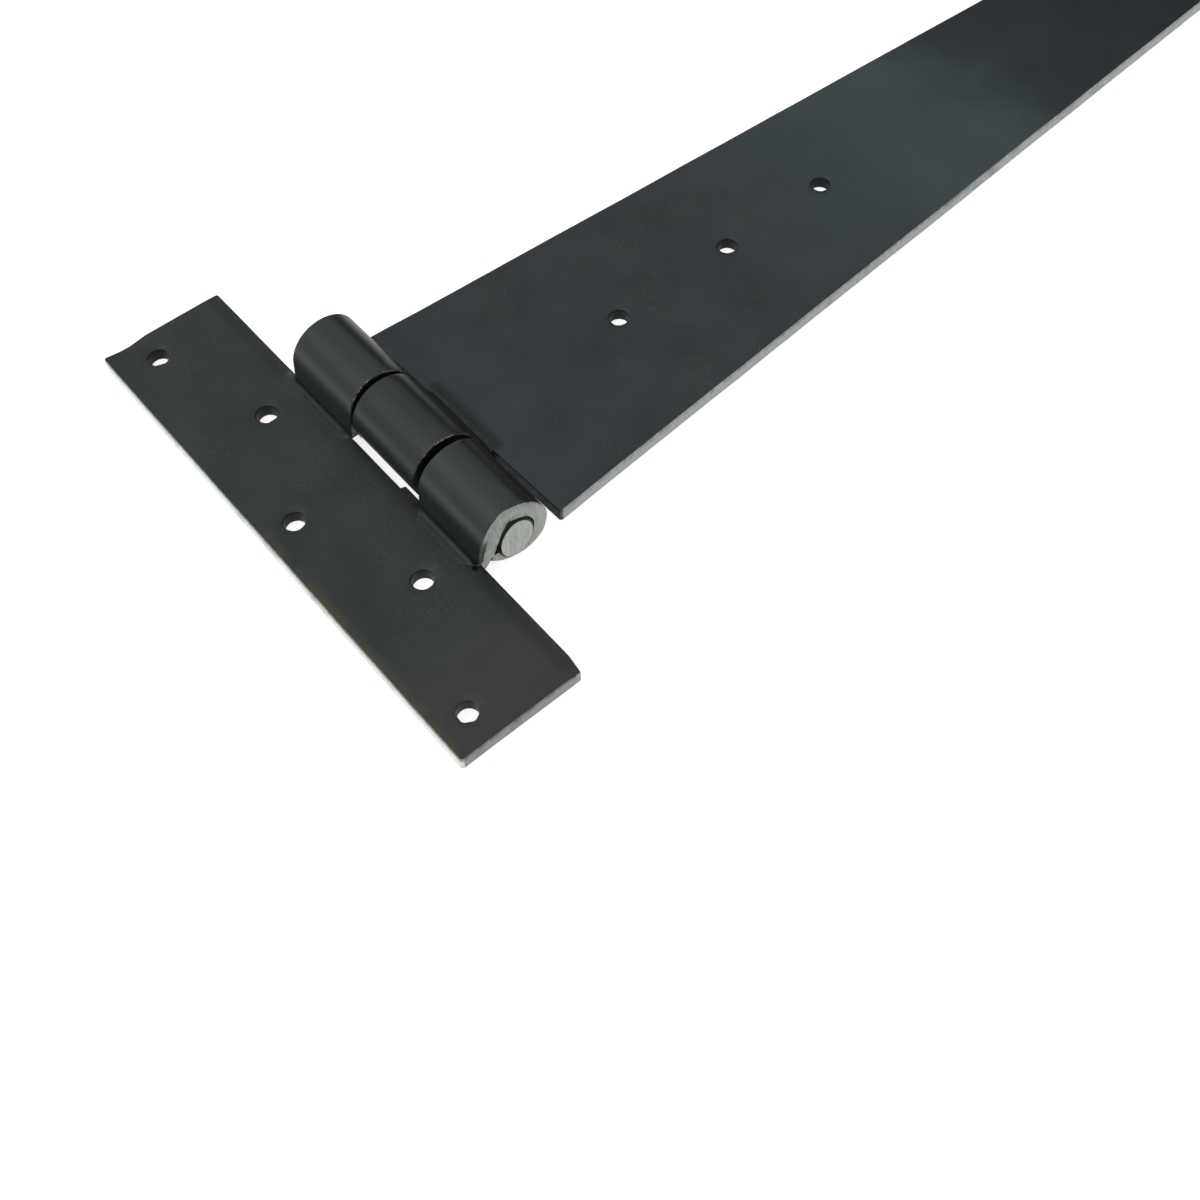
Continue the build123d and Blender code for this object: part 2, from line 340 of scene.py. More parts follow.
def wear_holes(point, rest, holes, hole_radius, sizes):
    """Draws the front face in round each punched hole and makes the hole's rim a little ragged."""
    for x, y in holes:
        away = Vector((rest.x - x, rest.y - y))
        if away.length > hole_radius + mm(4.0):
            continue
        beyond = away.length - hole_radius
        if rest.z > PLATE * 0.6:
            point.z -= sizes.hole_dish * fade(max(beyond, 0.0), mm(2.4))
        turn = math.atan2(away.y, away.x)
        # The hole's own place seeds its noise, so that no two rims are alike
        rag = noise.noise(Vector((math.cos(turn) * 1.6, math.sin(turn) * 1.6, x * 900 + y * 700)))
        rag += 0.5 * noise.noise(Vector((math.cos(turn) * 4.0, math.sin(turn) * 4.0, x * 500 - y * 300)))
        push = sizes.hole_rag * rag * fade(max(beyond, 0.0), mm(1.2)) * (0.5 + 0.5 * rest.z / PLATE)
        point.x += away.normalized().x * push
        point.y += away.normalized().y * push


def soften_creases(point, rest, crease_x, ends):
    """Sharpens the bend between a plate and its knuckle and lets the bend run out softly at its two ends."""
    near_crease = fade(abs(rest.x - crease_x), mm(2.6))
    if near_crease == 0.0 or not PLATE - mm(0.01) <= rest.z <= PLATE + mm(4.5):
        return
    point.z -= 0.8 * (rest.z - PLATE) * near_crease
    near_end = fade(min(abs(rest.y - end) for end in ends), mm(2.5))
    point.z -= 0.5 * (point.z - PLATE) * near_end * near_crease


def dress_near_end(point, rest):
    """Shapes the near knuckle's end as it was cut: it stands out furthest at the upper left."""
    if rest.y > NEAR_END_FROM or rest.x < mm(15.5):
        return
    out = from_pin(rest)
    turn = (math.degrees(math.atan2(out.z, out.x)) + 20) % 360 - 20
    for (low, before), (high, after) in zip(END_OFFSETS, END_OFFSETS[1:]):
        if low <= turn <= high:
            offset = before + (after - before) * (turn - low) / (high - low)
    offset += 0.25 * (wander((turn * 0.06, 0, 0), 0.3, 9.0) - 0.5) * fade(abs(turn - 110), 45)
    clear_of_plate = 1 - fade(max(rest.z - PLATE, 0.0), mm(4.0))
    point.y += mm(offset) * clear_of_plate * (1 - fade(NEAR_END_FROM - rest.y, mm(5)))


def wear_rims(point, rest, rim_y, depth, seed):
    """Chips a knuckle's rim back a little in places."""
    out = from_pin(rest)
    away = rest.y - rim_y
    if out.length < PIN_RADIUS + mm(0.5) or rest.x < mm(17.0) or not mm(-0.05) <= away <= mm(2.0):
        return
    turn = math.atan2(out.z, out.x)
    ragged = wander((math.cos(turn), math.sin(turn), 0), 0.35, seed) - 0.35
    ragged += 0.5 * (wander((math.cos(turn), math.sin(turn), 0), 0.12, seed + 2) - 0.5)
    on_top = fade(abs(math.degrees(turn) - 105), 75)
    point.y += (depth + mm(0.9) * max(ragged, 0.0)) * fade(away, mm(2.0)) * on_top


def wear_knuckle(point, rest, sizes, seed):
    """Presses the shallow flats of rolling into the outside of a knuckle."""
    out = from_pin(rest)
    if out.length < BARREL_RADIUS - mm(1.2) or rest.z < PLATE * 0.5:
        return
    away = out.normalized()
    if abs(out.length - BARREL_RADIUS) < mm(0.18) and rest.z > PLATE + mm(1):
        point += away * (BARREL_RADIUS - mm(0.02) - out.length)
    press = 0.75 * wander((rest.x, rest.y * 0.7, rest.z), mm(8.0), seed)
    press += 0.25 * wander((rest.x, rest.y, rest.z), mm(2.2), seed + 3)
    point -= away * sizes.hammering * press


def wear_leaf_edges(point, rest, sizes):
    """Lets the leaf's sheared edges wander inwards, dents its far end, blunts its near inner corner and
    rolls its margins down."""
    if rest.x > LEAF_EDGE + mm(0.1) or rest.z > PLATE + mm(0.01):
        return
    beside_barrel = BARREL_NEAR < rest.y < BARREL_FAR
    # For each edge: how far off it is, the place along it, the way in, and its share of the wave
    for away, along, inward, reach in (
        (rest.x + LEAF_EDGE, rest.y, Vector((1, 0, 0)), 0.8),
        (LEAF_EDGE - rest.x, rest.y + 9, Vector((-1, 0, 0)), 0.0 if beside_barrel else 0.15),
        (LEAF_HALF - rest.y, rest.x + 3, Vector((0, -1, 0)), 1.0),
        (rest.y + LEAF_HALF, rest.x + 6, Vector((0, 1, 0)), 0.7),
    ):
        wave = 0.65 * wander((along, 0, 0), mm(22), 2.0) + 0.35 * wander((along, 0, 0), mm(6), 4.0)
        point += inward * sizes.edge_wave * reach * wave * fade(away, mm(3.5))
    dent = fade(abs(rest.x + mm(11)), mm(7)) * fade(LEAF_HALF - rest.y, mm(3.5))
    point.y -= mm(0.8) * dent
    blunt = fade(rest.y + LEAF_HALF, mm(6)) * fade(LEAF_EDGE - rest.x, mm(6))
    point.x -= mm(0.4) * blunt
    if rest.z > PLATE * 0.5:
        if not beside_barrel:
            inner = min(max(1 - (LEAF_EDGE - rest.x) / mm(4.6), 0.0), 1.0)
            clear = 1 - fade(min(abs(rest.y - BARREL_FAR), abs(rest.y - BARREL_NEAR)), mm(9))
            point.z -= sizes.rolled_margin * inner * clear
        far = min(max(1 - (LEAF_HALF - rest.y) / mm(4.0), 0.0), 1.0)
        point.z -= sizes.rolled_margin * 0.7 * far
        point.z -= mm(0.05) * wander((rest.x, rest.y, 0), mm(18), 6.0) + mm(0.9) * blunt


def strap_half(x):
    """Half the strap's width at a place along it."""
    part = (x - STRAP_ROOT) / (STRAP_END - STRAP_ROOT)
    return STRAP_ROOT_HALF + (STRAP_TIP_HALF - STRAP_ROOT_HALF) * part


def wear_strap_edges(point, rest, sizes):
    """Lets the strap's long sheared edges wander inwards."""
    start = mm(45)
    if rest.x < start:
        return
    for side in (-1, 1):
        away = strap_half(rest.x) - side * (rest.y - STRAP_MIDDLE)
        wave = 0.65 * wander((rest.x, side, 0), mm(28), 5.0) + 0.35 * wander((rest.x, side, 0), mm(7), 8.0)
        push = sizes.edge_wave * wave * fade(away, mm(3.5))
        push *= 1 - fade(rest.x - start, mm(10)) - fade(STRAP_END - rest.x, mm(25)) * 0.9
        point.y -= side * max(push, 0.0)
    if rest.z > PLATE * 0.5:
        point.z -= mm(0.06) * wander((rest.x, rest.y, 0), mm(24), 3.0)


def lean_pin(point):
    """Leans the pin's cropped near end, so that it stands out further at the lower left."""
    if point.y < PIN_LOW.y + mm(2.5):
        point.y -= mm(0.4) - 0.073 * (point.x - PIN_X) - 0.125 * (point.z - PIN_Z)


def finish_piece(name, mesh, node, body, finishes, kinds):
    """Turns a worn mesh into the piece that stands for a CAD node, with each kind of face in its finish."""
    mesh.normal_update()
    numbers = {kind: number for number, kind in enumerate(finishes)}
    for face in mesh.faces:
        face.smooth = True
        face.material_index = numbers[kinds[face]]
    data = bpy.data.meshes.new(name)
    mesh.to_mesh(data)
    mesh.free()
    data.set_sharp_from_angle(angle=math.radians(32))
    for material in finishes.values():
        data.materials.append(material)
    piece = bpy.data.objects.new(name, data)
    bpy.context.scene.collection.objects.link(piece)
    even = piece.modifiers.new("Even shading", "WEIGHTED_NORMAL")
    even.keep_sharp = True
    even.weight = 80
    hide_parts(node)
    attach(piece, body)


# Materials

# A Mix node's colour sockets share their names with its others, so they are found by number
MIX_FACTOR, MIX_BELOW, MIX_ABOVE, MIX_RESULT = 0, 6, 7, 2


def add_node(tree, kind, settings=None, links=None):
    """Adds one node, sets its properties and sockets, and links its inputs to other sockets."""
    node = tree.nodes.new(kind)
    for key, value in (settings or {}).items():
        if isinstance(key, str) and hasattr(node, key) and key not in node.inputs:
            setattr(node, key, value)
        else:
            node.inputs[key].default_value = value
    for key, socket in (links or {}).items():
        tree.links.new(socket, node.inputs[key])
    return node


def tone(colour, factor):
    """A colour made lighter or darker."""
    return tuple(min(channel * factor, 1.0) for channel in colour)


def on_plate(x, y, lift=0.0):
    """A place on the front of the plates, from millimetres."""
    return mm(x), mm(y), PLATE + mm(lift)


def start_material(name):
    """A new material with its node tree and an output."""
    material = bpy.data.materials.new(name)
    material.use_nodes = True
    tree = material.node_tree
    tree.nodes.clear()
    return material, tree, add_node(tree, "ShaderNodeOutputMaterial")


def start_steel(name, metallic):
    """A new steel material with its node tree and the place on the surface."""
    material, tree, output = start_material(name)
    shader = add_node(tree, "ShaderNodeBsdfPrincipled", {"Metallic": metallic})
    tree.links.new(shader.outputs["BSDF"], output.inputs["Surface"])
    return material, tree, add_node(tree, "ShaderNodeTexCoord").outputs["Object"]


def cloud(tree, place, size, low=0.3, high=0.7, detail=3.0):
    """Noise with patches of a size in metres, from 0 below the low level to 1 above the high one."""
    noisy = add_node(tree, "ShaderNodeTexNoise", {"Scale": 1 / size, "Detail": detail, "Roughness": 0.55},
                     {"Vector": place})
    level = add_node(tree, "ShaderNodeMapRange", {"From Min": low, "From Max": high},
                     {"Value": noisy.outputs["Fac"]})
    return level.outputs[0]


def zone(tree, place, *limits):
    """Factors that are all 1 inside a part of a piece. A limit is an axis, where it is still 0 and where it
    is 1."""
    parts = add_node(tree, "ShaderNodeSeparateXYZ", {}, {"Vector": place})
    return [add_node(tree, "ShaderNodeMapRange",
                     {"interpolation_type": "SMOOTHSTEP", "From Min": outside, "From Max": inside},
                     {"Value": parts.outputs[axis]}).outputs[0] for axis, outside, inside in limits]


def mark(tree, place, start, end, width, soft):
    """Nearness to a line across the surface: 1 within the width of it, 0 beyond its soft edge."""
    start = Vector(start)
    span = Vector(end) - start
    from_start = add_node(tree, "ShaderNodeVectorMath", {"operation": "SUBTRACT", 1: start}, {0: place})
    along = add_node(tree, "ShaderNodeVectorMath",
                     {"operation": "DOT_PRODUCT", 1: span / max(span.length_squared, 1e-12)},
                     {0: from_start.outputs["Vector"]})
    held = add_node(tree, "ShaderNodeClamp", {}, {"Value": along.outputs["Value"]})
    foot = add_node(tree, "ShaderNodeVectorMath", {"operation": "SCALE", 0: span}, {"Scale": held.outputs[0]})
    off = add_node(tree, "ShaderNodeVectorMath", {"operation": "DISTANCE"},
                   {0: from_start.outputs["Vector"], 1: foot.outputs["Vector"]})
    near = add_node(tree, "ShaderNodeMapRange",
                    {"interpolation_type": "SMOOTHSTEP", "From Min": width + soft, "From Max": width},
                    {"Value": off.outputs["Value"]})
    return near.outputs[0]


def lay_over(tree, below, above, strength, *factors):
    """Lays a colour over another, or over what is on the steel already, as far as the strength and all the
    factors together reach."""
    reach = add_node(tree, "ShaderNodeMath", {"operation": "MULTIPLY", 1: strength}, {0: factors[0]})
    for factor in factors[1:]:
        reach = add_node(tree, "ShaderNodeMath", {"operation": "MULTIPLY"}, {0: reach.outputs[0], 1: factor})
    mix = add_node(tree, "ShaderNodeMix", {"data_type": "RGBA", MIX_ABOVE: (*above, 1)},
                   {MIX_FACTOR: reach.outputs[0]})
    if isinstance(below, tuple):
        mix.inputs[MIX_BELOW].default_value = (*below, 1)
    else:
        tree.links.new(below, mix.inputs[MIX_BELOW])
    return mix.outputs[MIX_RESULT]


def finish_steel(tree, place, face, *, roughness, patch, grain, bump):
    """Gives a steel its colour, a roughness that varies in patches, and a grain. The real grain is under
    0.1 mm and too fine to show, so it is drawn 0.4 to 0.8 mm wide."""
    shader = tree.nodes["Principled BSDF"]
    tree.links.new(face, shader.inputs["Base Color"])
    smoothest, roughest = roughness
    rough = add_node(tree, "ShaderNodeMapRange", {"To Min": smoothest, "To Max": roughest},
                     {"Value": cloud(tree, place, patch)})
    tree.links.new(rough.outputs[0], shader.inputs["Roughness"])
    fine = add_node(tree, "ShaderNodeTexNoise", {"Scale": 1 / grain, "Detail": 3.0, "Roughness": 0.6},
                    {"Vector": place})
    relief = add_node(tree, "ShaderNodeBump", {"Strength": bump, "Distance": mm(0.1)},
                      {"Height": fine.outputs["Fac"]})
    tree.links.new(relief.outputs["Normal"], shader.inputs["Normal"])


def blackened_plate(name, colour, knuckle, soil):
    """Hot-rolled mild steel with its scale on, blackened with wax. It looks dark and satin, in faint clouds
    16 mm wide, with warm specks of 0.7 mm where the wax has browned. The knuckles carry painted light: a
    painted highlight on top and at the foot, and painted shade on the side that faces the strap."""
    material, tree, place = start_steel(name, 0.85)
    face = lay_over(tree, tone(colour, 0.86), tone(colour, 1.14), 1, cloud(tree, place, mm(16), detail=6.0))
    # Painted highlight on the knuckles' tops
    top = zone(tree, place, ("Z", PLATE + mm(0.8), PLATE + mm(3)),
               ("X", PIN_X - mm(12.5), PIN_X - mm(9)), ("X", PIN_X + mm(6.5), PIN_X + mm(3)))
    face = lay_over(tree, face, knuckle, 0.9, *top)
    # Painted shade on the knuckles' side that faces the strap
    strap_side_shade = zone(tree, place, ("Z", PLATE + mm(0.3), PLATE + mm(1.5)),
                      ("X", PIN_X + mm(3.2), PIN_X + mm(5.2)), ("X", mm(39), mm(37)))
    face = lay_over(tree, face, tone(colour, 0.4), 0.9, *strap_side_shade)
    # Painted highlight at the knuckles' feet, beside the crease
    foot = zone(tree, place, ("Z", PLATE + mm(0.8), PLATE + mm(2.2)), ("X", mm(19.8), mm(17.6)))
    face = lay_over(tree, face, tone(knuckle, 1.95), 0.9, *foot)
    specks = (cloud(tree, place, mm(0.7), 0.52, 0.68, 2.0), cloud(tree, place, mm(12), 0.42, 0.62))
    face = lay_over(tree, face, tone(soil, 1.1), 0.3, *specks)
    return material, tree, place, face


def worn_steel(name, colour, *, contrast, patch, roughness, bump, metallic=0.8):
    """Mild steel where a tool or rust went through the scale: mottled in small patches and rougher."""
    material, tree, place = start_steel(name, metallic)
    face = lay_over(tree, tone(colour, 1 - contrast), tone(colour, 1 + contrast), 1,
                    cloud(tree, place, patch, detail=4.0))
    finish_steel(tree, place, face, roughness=(roughness - 0.06, roughness + 0.08), patch=patch,
                 grain=mm(0.45), bump=bump)
    return material


def sheared_side(name, colour, bright):
    """Mild steel sheared cold: brighter low down where the blade burnished it, grey and torn beside the
    front face, in upright streaks 1.4 mm wide, and duller in patches of 7 mm where blackening held."""
    material, tree, place = start_steel(name, 0.8)
    upright = add_node(tree, "ShaderNodeVectorMath", {"operation": "MULTIPLY", 1: (1, 1, 0.15)}, {0: place})
    streaks = cloud(tree, upright.outputs["Vector"], mm(1.4), 0.35, 0.65, 4.0)
    face = lay_over(tree, tone(colour, 0.7), tone(colour, 1.15), 1, streaks)
    face = lay_over(tree, face, tone(colour, bright), 1, *zone(tree, place, ("Z", mm(3.3), mm(2.3))))
    face = lay_over(tree, face, tone(colour, 0.4), 0.5, cloud(tree, place, mm(7), 0.55, 0.75))
    finish_steel(tree, place, face, roughness=(0.4, 0.55), patch=mm(2), grain=mm(0.5), bump=0.25)
    return material


def filed_end(name, colour, seam_shadow=False):
    """Mild steel filed or cropped bare: pale grey, with scores all one way and a few dark pits, and with a
    painted shadow in the gap round the pin on its right side where that is asked for. A file's own scores are
    too fine to show, so these are 0.5 mm apart."""
    material, tree, place = start_steel(name, 0.8)
    drawn = add_node(tree, "ShaderNodeVectorMath", {"operation": "MULTIPLY", 1: (1.0, 0.2, 0.12)}, {0: place})
    lean = add_node(tree, "ShaderNodeVectorRotate", {"rotation_type": "Y_AXIS", "Angle": 0.5},
                    {"Vector": drawn.outputs["Vector"]})
    scores = cloud(tree, lean.outputs["Vector"], mm(0.5), detail=4.0)
    face = lay_over(tree, tone(colour, 0.78), tone(colour, 1.15), 1, scores)
    face = lay_over(tree, face, tone(colour, 0.3), 1, cloud(tree, place, mm(0.6), 0.68, 0.76))
    # Painted shadow in the gap between the pin and its eye, on the pin's right side
    if seam_shadow:
        flat = add_node(tree, "ShaderNodeVectorMath", {"operation": "MULTIPLY", 1: (1, 0, 1)}, {0: place})
        out = add_node(tree, "ShaderNodeVectorMath", {"operation": "DISTANCE", 1: (PIN_X, 0, PIN_Z)},
                       {0: flat.outputs["Vector"]})
        rim = PIN_RADIUS - PIN_CHAMFER
        ring = add_node(tree, "ShaderNodeMapRange", {"interpolation_type": "SMOOTHSTEP",
                                                     "From Min": rim - mm(0.3), "From Max": rim - mm(0.12)},
                        {"Value": out.outputs["Value"]})
        right = zone(tree, place, ("X", PIN_X + mm(0.5), PIN_X + mm(2.5)))
        face = lay_over(tree, face, tone(colour, 0.06), 0.95, ring.outputs[0], *right)
    finish_steel(tree, place, face, roughness=(0.38, 0.5), patch=mm(2), grain=mm(0.4), bump=0.25)
    return material


def gap_shade(name, colour):
    """Painted shade for the gap beside the knuckles: nearly black and dull."""
    material, tree, place = start_steel(name, 0.0)
    tree.nodes["Principled BSDF"].inputs["Specular IOR Level"].default_value = 0.15
    face = lay_over(tree, tone(colour, 0.7), tone(colour, 1.3), 1, cloud(tree, place, mm(2)))
    finish_steel(tree, place, face, roughness=(0.6, 0.75), patch=mm(3), grain=mm(0.5), bump=0.2)
    return material


def rubbed_rim(name, colour, burr):
    """Mild steel on the rim of a rolled knuckle: dark, with pale specks of 0.4 mm in groups 4 mm wide, where
    a fine burr has lost its blackening."""
    material, tree, place = start_steel(name, 0.8)
    specks = (cloud(tree, place, mm(0.4), 0.45, 0.6), cloud(tree, place, mm(4), 0.4, 0.6))
    face = lay_over(tree, tone(colour, 0.9), colour, 1, *specks)
    face = lay_over(tree, face, burr, 1, *specks)
    finish_steel(tree, place, face, roughness=(0.45, 0.6), patch=mm(2), grain=mm(0.4), bump=0.3)
    return material


def leaf_face(colours):
    """Blackened face of the cross leaf. Old wax rubbed along its outer edge, rust round two holes and a bared
    burr along the far knuckle show that it is used and handled. Its creases and rolled margins carry painted
    shade."""
    material, tree, place, face = blackened_plate("Blackened hot-rolled mild steel", colours.leaf,
                                                  colours.knuckle, colours.soil)
    face = lay_over(tree, face, colours.leaf_near, 0.7, *zone(tree, place, ("Y", mm(-35), mm(-68))))

    # Painted shade on the rolled margins beyond the barrel, which look darker
    for near, far in ((-72, -43), (42, 76)):
        margin = mark(tree, place, on_plate(15.2, near), on_plate(15.2, far), mm(0.6), mm(2.2))
        face = lay_over(tree, face, tone(colours.leaf, 0.6), 0.38, margin)

    # Wax along the outer edge and rust at the holes' outer sides, both in broken patches of 5 mm
    broken = cloud(tree, place, mm(5), 0.3, 0.55)
    edge = mark(tree, place, (-LEAF_EDGE, mm(1), PLATE), (-LEAF_EDGE, mm(-72), PLATE), mm(0.8), mm(2.6))
    face = lay_over(tree, face, tone(colours.soil, 0.85), 0.8, edge, broken)
    for (x, y), strength in zip(LEAF_HOLES, (0.45, 0.7, 0.2, 0.15, 0.1)):
        spot = (x - mm(2.9), y - mm(0.4), PLATE)
        rim = mark(tree, place, spot, spot, mm(0.4), mm(1.4))
        face = lay_over(tree, face, tone(colours.rust, 0.6), strength, rim, broken)

    # Painted shade in the creases at the feet of the two knuckles, with a rubbed bead at the far one's end
    for near, far in (((16.4, 12.5), (16.4, 36.5)), ((16.6, -38.0), (16.5, -16.5))):
        crease = mark(tree, place, on_plate(*near, 0.5), on_plate(*far, 0.5), mm(0.3), mm(1.4))
        face = lay_over(tree, face, tone(colours.leaf, 0.3), 0.4, crease)
    bead = on_plate(16.4, 39.4)
    face = lay_over(tree, face, tone(colours.dressed, 0.4), 0.35,
                    mark(tree, place, bead, bead, mm(0.2), mm(1.3)))

    # Black dirt and pale grit in the notch's far corner, and a nick at the near knuckle's end
    dirt = mark(tree, place, on_plate(16.2, 14.8), on_plate(17.6, 12.2), mm(0.3), mm(1.0))
    face = lay_over(tree, face, tone(colours.rust, 0.07), 0.8, dirt)
    grit = mark(tree, place, on_plate(16.8, 15.2), on_plate(17.2, 11.8), mm(0.5), mm(1.0))
    face = lay_over(tree, face, tone(colours.dressed, 0.5), 0.8, grit,
                    cloud(tree, place, mm(0.5), 0.55, 0.65))
    nick = on_plate(15.6, -38.6)
    face = lay_over(tree, face, tone(colours.leaf, 0.12), 1,
                    mark(tree, place, nick, nick, mm(0.35), mm(0.7)))

    # A burr of 0.6 mm specks, rubbed bare, along the far knuckle's side towards the strap
    burr_x = PIN_X + BARREL_RADIUS * 0.88
    burr_z = PIN_Z + BARREL_RADIUS * 0.47
    burr = mark(tree, place, (burr_x, mm(27), burr_z), (burr_x, mm(12), burr_z), mm(0.3), mm(1.2))
    face = lay_over(tree, face, tone(colours.dressed, 0.4), 0.7, burr, cloud(tree, place, mm(0.6), 0.5, 0.62))
    finish_steel(tree, place, face, roughness=(0.34, 0.44), patch=mm(20), grain=mm(0.8), bump=0.1)
    return material


def strap_face(colours):
    """Blackened face of the strap, bluer towards the tip, with a painted sheen in its middle and painted
    shade towards the tip, lightly scratched along its crease and with painted shade beyond the crease."""
    material, tree, place, face = blackened_plate("Blackened hot-rolled strap steel", colours.strap,
                                                  tone(colours.knuckle, 0.88), colours.soil)
    # The blackening turns bluer along the strap, under a painted sheen in the middle and painted shade
    # towards the tip, with a border that wavers by up to 60 mm in waves of 45 mm
    wavy = add_node(tree, "ShaderNodeTexNoise", {"Scale": 1 / mm(45), "Detail": 4.0, "Roughness": 0.6},
                    {"Vector": place})
    parts = add_node(tree, "ShaderNodeSeparateXYZ", {}, {"Vector": place})
    along = add_node(tree, "ShaderNodeMath", {"operation": "MULTIPLY_ADD", 1: mm(60)},
                     {0: wavy.outputs["Fac"], 2: parts.outputs["X"]})
    for start, end, colour in (
        (160, 240, colours.strap_middle_tint_and_sheen),
        (232, 272, colours.strap_far_tint_and_shade),
        (272, 335, colours.strap_tip_tint_and_shade),
    ):
        reached = add_node(tree, "ShaderNodeMapRange",
                           {"interpolation_type": "SMOOTHSTEP", "From Min": mm(start), "From Max": mm(end)},
                           {"Value": along.outputs[0]})
        face = lay_over(tree, face, colour, 1, reached.outputs[0])

    # Broken scratches along the crease, and painted shade beyond it
    speckle = cloud(tree, place, mm(0.5), 0.5, 0.62)
    for start, end in (
        ((40.4, 12.6), (40.6, 4.4)),
        ((41.0, 1.0), (40.6, -4.0)),
        ((40.6, -6.0), (41.0, -11.0)),
    ):
        scratch = mark(tree, place, on_plate(*start), on_plate(*end), mm(0.1), mm(0.5))
        face = lay_over(tree, face, tone(colours.dressed, 0.6), 0.5, scratch, speckle)
    crease = mark(tree, place, on_plate(41.4, -13), on_plate(41.4, 11), mm(0.5), mm(2.8))
    face = lay_over(tree, face, tone(colours.strap, 0.35), 0.6, crease)
    finish_steel(tree, place, face, roughness=(0.34, 0.44), patch=mm(24), grain=mm(0.8), bump=0.1)
    return material


# Pieces

def on_barrel(middle):
    """Whether the middle of a face lies on the outside of the barrel."""
    return abs(math.hypot(middle.x - PIN_X, middle.z - PIN_Z) - BARREL_RADIUS) < mm(0.3)


def in_hole(middle, holes, radius):
    """Whether the middle of a face is on the wall of a hole."""
    return mm(0.1) < middle.z < PLATE - mm(0.3) and any(
        math.hypot(middle.x - x, middle.y - y) < radius + mm(0.1) for x, y in holes)


def leaf_kind(face):
    """Which finish a face of the cross leaf has."""
    middle = face.calc_center_median()
    upright = abs(face.normal.z) < 0.75
    edge_low, edge_high = LEAF_EDGE_SHOWS
    if in_hole(middle, LEAF_HOLES, LEAF_HOLE_RADIUS):
        return "hole"
    if (TORN_LIP_X[0] < middle.x < TORN_LIP_X[1] and TORN_LIP_Y[0] < middle.y < TORN_LIP_Y[1]
            and middle.z < PLATE):
        return "torn lip"
    if middle.x > LEAF_CREASE and middle.y < mm(-36) and face.normal.y < -0.4:
        return "filed end"
    if middle.x > LEAF_EDGE + mm(0.5) and 0.3 < abs(face.normal.y) < 0.95 and on_barrel(middle):
        return "rim"
    # The outer long side gets a painted lit copy of the sheared steel
    if upright and middle.x < -LEAF_EDGE + mm(1.2):
        return "lit sheared side"
    if upright and middle.x < LEAF_EDGE and abs(middle.y) > LEAF_HALF - mm(1.5):
        return "sheared side"
    if (upright and abs(middle.x - LEAF_EDGE) < mm(0.6) and middle.z < PLATE
            and not edge_low <= middle.y <= edge_high):
        return "sheared side"
    return "face"


def strap_kind(face):
    """Which finish a face of the strap has."""
    middle = face.calc_center_median()
    knuckle_far, knuckle_near = STRAP_KNUCKLE_ENDS
    # The strap's root end beside the knuckle gets painted shade
    at_root = middle.x < mm(41.6) and middle.z < PLATE - mm(0.4) and face.normal.x < -0.7
    if at_root and not knuckle_near - mm(0.5) < middle.y < knuckle_far + mm(0.5):
        return "shaded root"
    if in_hole(middle, STRAP_HOLES, STRAP_HOLE_RADIUS):
        return "hole"
    if 0.3 < abs(face.normal.y) < 0.95 and on_barrel(middle):
        return "rim"
    if abs(face.normal.z) < 0.75 and middle.x > mm(42):
        if abs(middle.y - STRAP_MIDDLE) > strap_half(middle.x) - mm(1.0) or middle.x > STRAP_END - mm(12):
            return "sheared side"
    return "face"


class HINGE_OT_cross_leaf(bpy.types.Operator):
    """Makes the worn cross leaf with its two knuckles"""

    bl_idname = "hinge.cross_leaf"
    bl_label = "Cross leaf"

    def execute(self, context):
        sizes = context.scene.hinge_sizes
        colours = context.scene.hinge_colours
        mesh = remade("cross_leaf", LEAF_HOLES, LEAF_HOLE_RADIUS, sizes)
        kinds = {face: leaf_kind(face) for face in mesh.faces}
        for vertex in mesh.verts:
            wear_leaf_edges(vertex.co, vertex.co.copy(), sizes)
            rest = vertex.co.copy()
            wear_holes(vertex.co, rest, LEAF_HOLES, LEAF_HOLE_RADIUS, sizes)
            wear_knuckle(vertex.co, rest, sizes, 4.0)
            soften_creases(vertex.co, rest, LEAF_CREASE, LEAF_CREASE_ENDS)
            wear_rims(vertex.co, rest, LEAF_CREASE_ENDS[0], mm(0.6), 2.0)
            dress_near_end(vertex.co, rest)
        finishes = {
            "face": leaf_face(colours),
            # Painted light: the outer long side is a lit copy of the sheared steel, much paler than the other
            # sides
            "lit sheared side": sheared_side("Sheared mild steel, painted lit side", tone(colours.sheared, 1.15),
                                           bright=2.3),
            "sheared side": sheared_side("Sheared mild steel", tone(colours.sheared, 0.68), bright=1.4),
            # Painted shade: the hole walls are drawn darker than the plate
            "hole": worn_steel("Punched hole in mild steel", tone(colours.leaf, 0.4),
                               contrast=0.35, patch=mm(1.5), roughness=0.5, bump=0.2),
            "rim": rubbed_rim("Rolled rim of mild steel", tone(colours.leaf, 0.9), colours.burr),
            "filed end": filed_end("Filed mild steel", tone(colours.dressed, 0.85)),
            "torn lip": worn_steel("Torn mild steel, rusted", colours.rust,
                                   contrast=0.35, patch=mm(1.2), roughness=0.75, bump=0.5, metallic=0.0),
        }
        finish_piece("cross_leaf_dressed", mesh, "cross_leaf", "cross_leaf", finishes, kinds)
        return {"FINISHED"}


